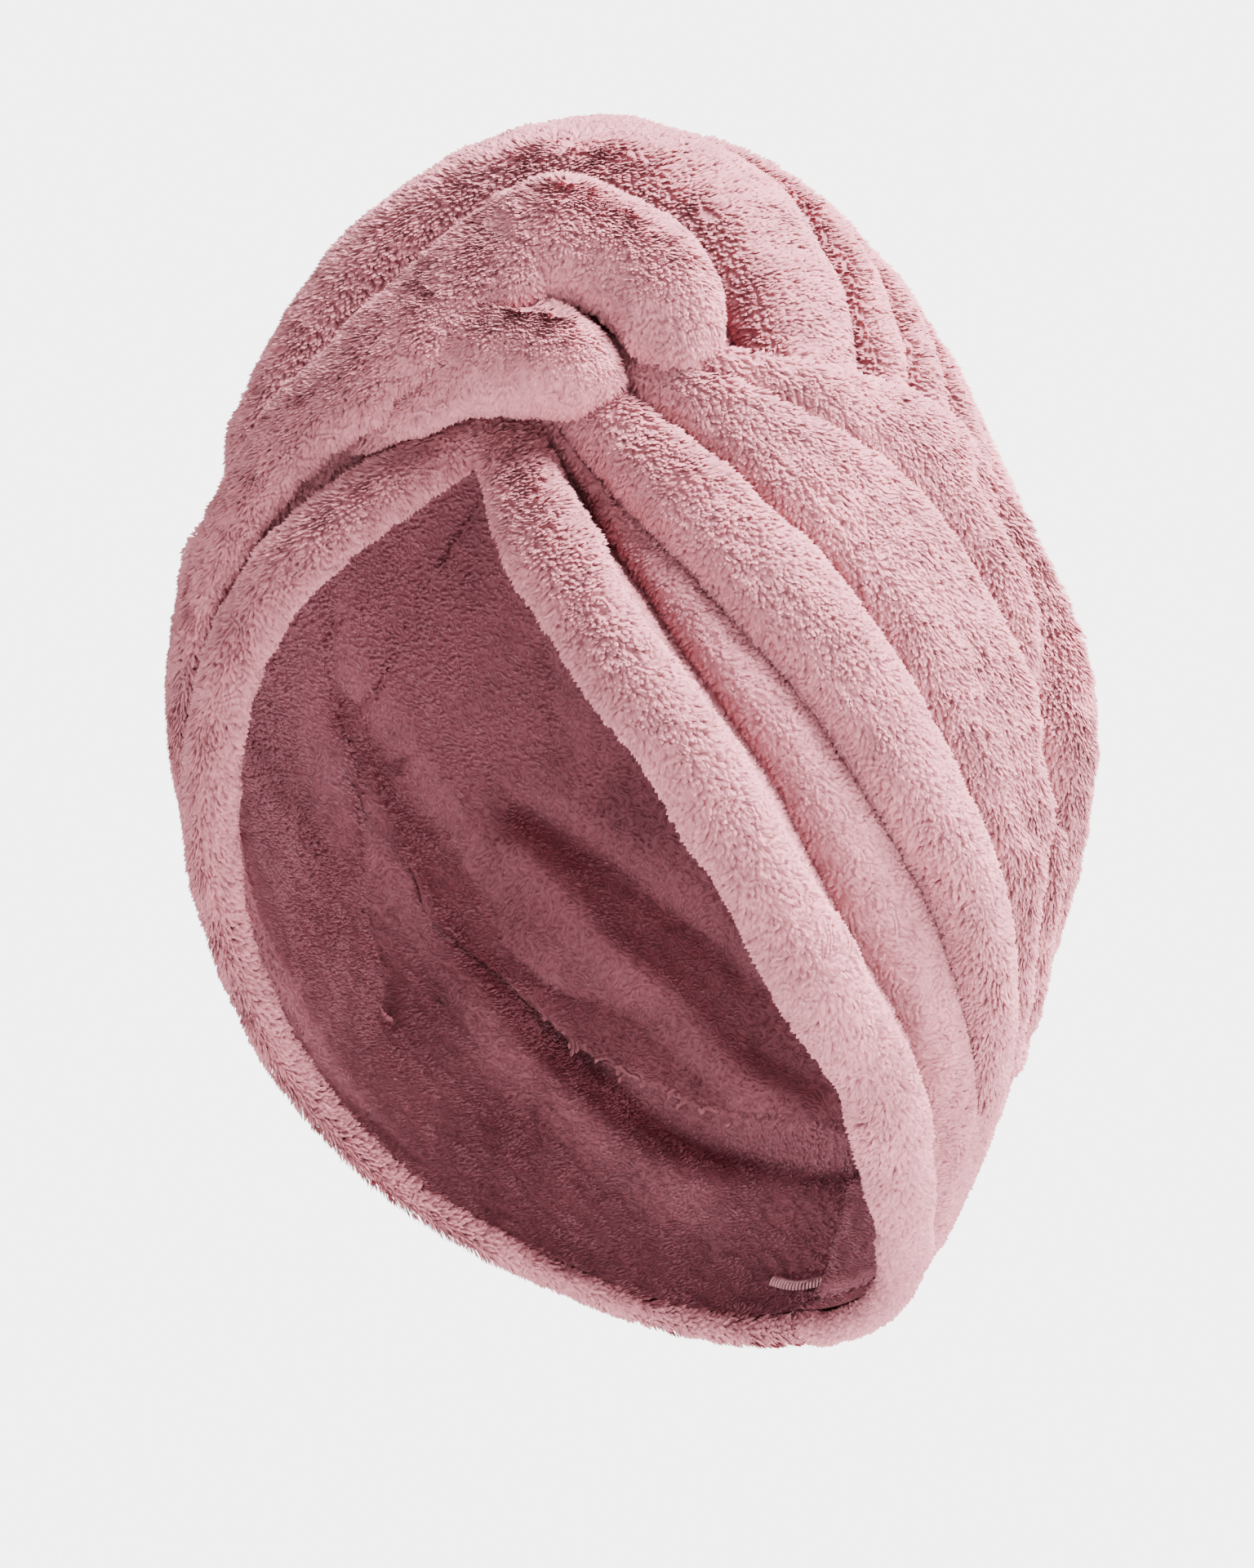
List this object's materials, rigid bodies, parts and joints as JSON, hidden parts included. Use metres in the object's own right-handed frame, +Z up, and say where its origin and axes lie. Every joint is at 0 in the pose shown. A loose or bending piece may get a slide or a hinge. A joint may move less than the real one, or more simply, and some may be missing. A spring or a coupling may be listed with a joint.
{
  "type": "hair turban towel, in its worn form",
  "caption": "Pink plush hair turban towel in its worn form, with a gathered roll over the brow, fanned side folds and a ribbed crown.",
  "frame": {"origin": "middle of the head opening, where the wearer's head goes in", "axes": "+Z up from the opening to the crown, -Y the way the face looks, +X the wearer's left"},
  "size_m": [0.1933, 0.2218, 0.2631],
  "materials": {
    "crown_cloth": "plush pile",
    "near_wrap_cloth": "plush pile",
    "far_wrap_cloth": "plush pile",
    "rim_hem_cloth": "plush pile",
    "nape_facing_cloth": "short pile"
  },
  "bodies": {
    "root": {"crown": "crown_cloth", "near_wrap": "near_wrap_cloth", "far_wrap": "far_wrap_cloth", "rim_hem": "rim_hem_cloth", "nape_facing": "nape_facing_cloth"}
  },
  "joints": []
}
